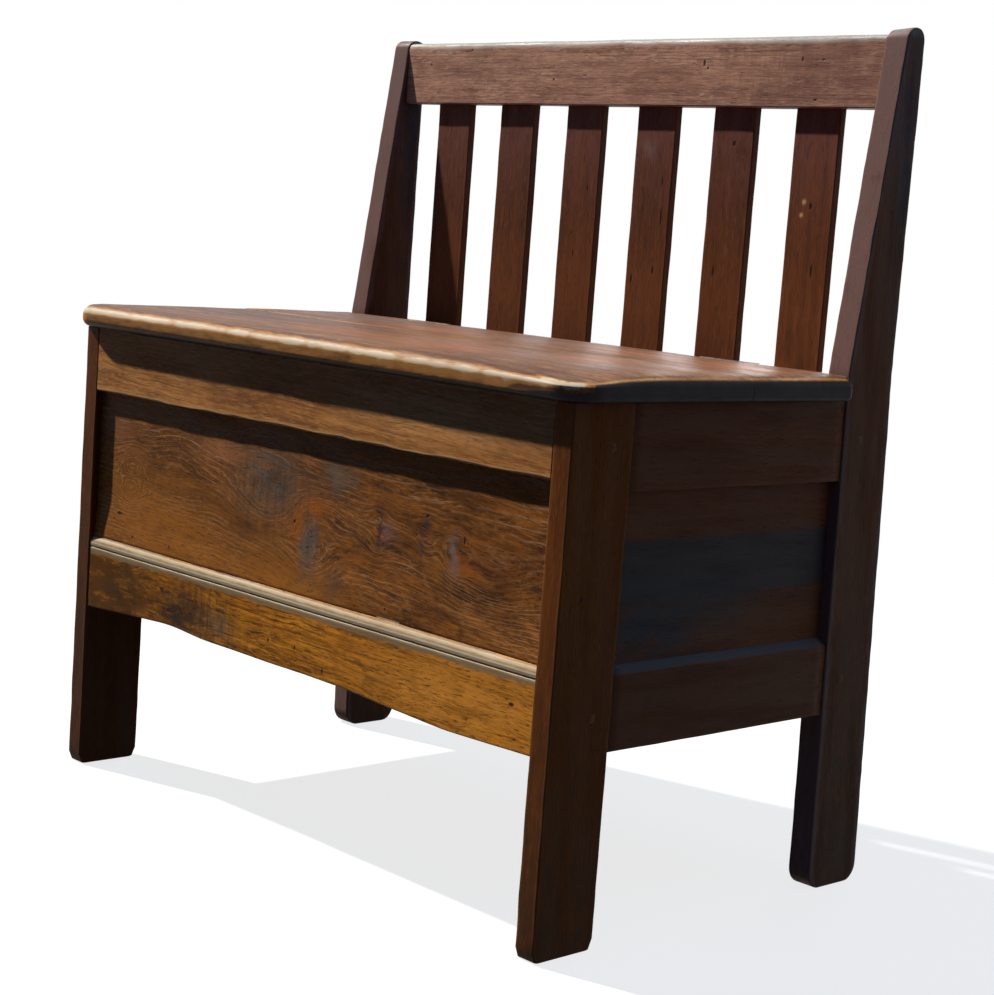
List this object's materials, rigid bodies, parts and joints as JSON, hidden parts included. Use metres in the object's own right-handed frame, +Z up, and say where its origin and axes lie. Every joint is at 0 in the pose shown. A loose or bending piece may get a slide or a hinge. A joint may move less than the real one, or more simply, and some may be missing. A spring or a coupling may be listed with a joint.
{
  "type": "settle bench",
  "caption": "Small oak settle bench: slatted back between raked posts, panelled box seat with a moulded lower rail, and a bullnosed seat that lifts as a lid.",
  "frame": {"origin": "on the floor, in the middle of the bench's overall width and depth", "axes": "+Z up, +X to the sitter's left as seen from the front, which faces -Y; the slatted back is at +Y"},
  "size_m": [0.7604, 0.4582, 0.8237],
  "materials": {
    "frame_oak": "dark waxed oak, worn lighter on the arrises",
    "rail_oak": "golden brown oak, waxed",
    "panel_oak": "warm brown figured oak, waxed",
    "crest_oak": "grey-brown oak with pale flecks",
    "slat_oak": "dark reddish brown oak",
    "seat_oak": "polished red-brown oak, its round edge worn pale",
    "inside_oak": "unpolished oak inside the box",
    "iron": "dark iron"
  },
  "bodies": {
    "bench": {"front_stile_right": "frame_oak", "rear_post_right": "frame_oak", "side_upper_rail_right": "frame_oak", "side_lower_rail_right": "frame_oak", "side_panel_right": "frame_oak", "frame_peg_1_right": "frame_oak", "frame_peg_2_right": "frame_oak", "frame_peg_3_right": "frame_oak", "frame_peg_4_right": "frame_oak", "front_stile_left": "frame_oak", "rear_post_left": "frame_oak", "side_upper_rail_left": "frame_oak", "side_lower_rail_left": "frame_oak", "side_panel_left": "frame_oak", "frame_peg_1_left": "frame_oak", "frame_peg_2_left": "frame_oak", "frame_peg_3_left": "frame_oak", "frame_peg_4_left": "frame_oak", "front_upper_rail": "rail_oak", "front_lower_rail": "rail_oak", "front_panel": "panel_oak", "crest_rail": "crest_oak", "slat_1": "slat_oak", "slat_2": "slat_oak", "slat_3": "slat_oak", "slat_4": "slat_oak", "slat_5": "slat_oak", "slat_6": "slat_oak", "back_upper_rail": "inside_oak", "back_lower_rail": "inside_oak", "back_panel": "inside_oak", "hinge_ledge": "inside_oak", "floor_board_front": "inside_oak", "floor_board_middle": "inside_oak", "floor_board_back": "inside_oak", "floor_cleat_front": "inside_oak", "floor_cleat_back": "inside_oak", "floor_cleat_right": "inside_oak", "floor_cleat_left": "inside_oak", "hinge_left_fixed_leaf": "iron", "hinge_left_pin": "iron", "hinge_right_fixed_leaf": "iron", "hinge_right_pin": "iron", "hinge_screw_ledge_1": "iron", "hinge_screw_ledge_2": "iron", "hinge_screw_ledge_3": "iron", "hinge_screw_ledge_4": "iron"},
    "lid": {"seat_front_board": "seat_oak", "seat_back_board": "seat_oak", "lid_batten_right": "inside_oak", "lid_batten_left": "inside_oak", "hinge_left_moving_leaf": "iron", "hinge_right_moving_leaf": "iron", "hinge_screw_lid_1": "iron", "hinge_screw_lid_2": "iron", "hinge_screw_lid_3": "iron", "hinge_screw_lid_4": "iron"}
  },
  "joints": [
    {"name": "lid_hinge", "type": "hinge", "parent": "bench", "child": "lid", "pos_m": [0, 0.14023, 0.497], "axis": [-1, 0, 0], "range_deg": [0, 97]}
  ]
}
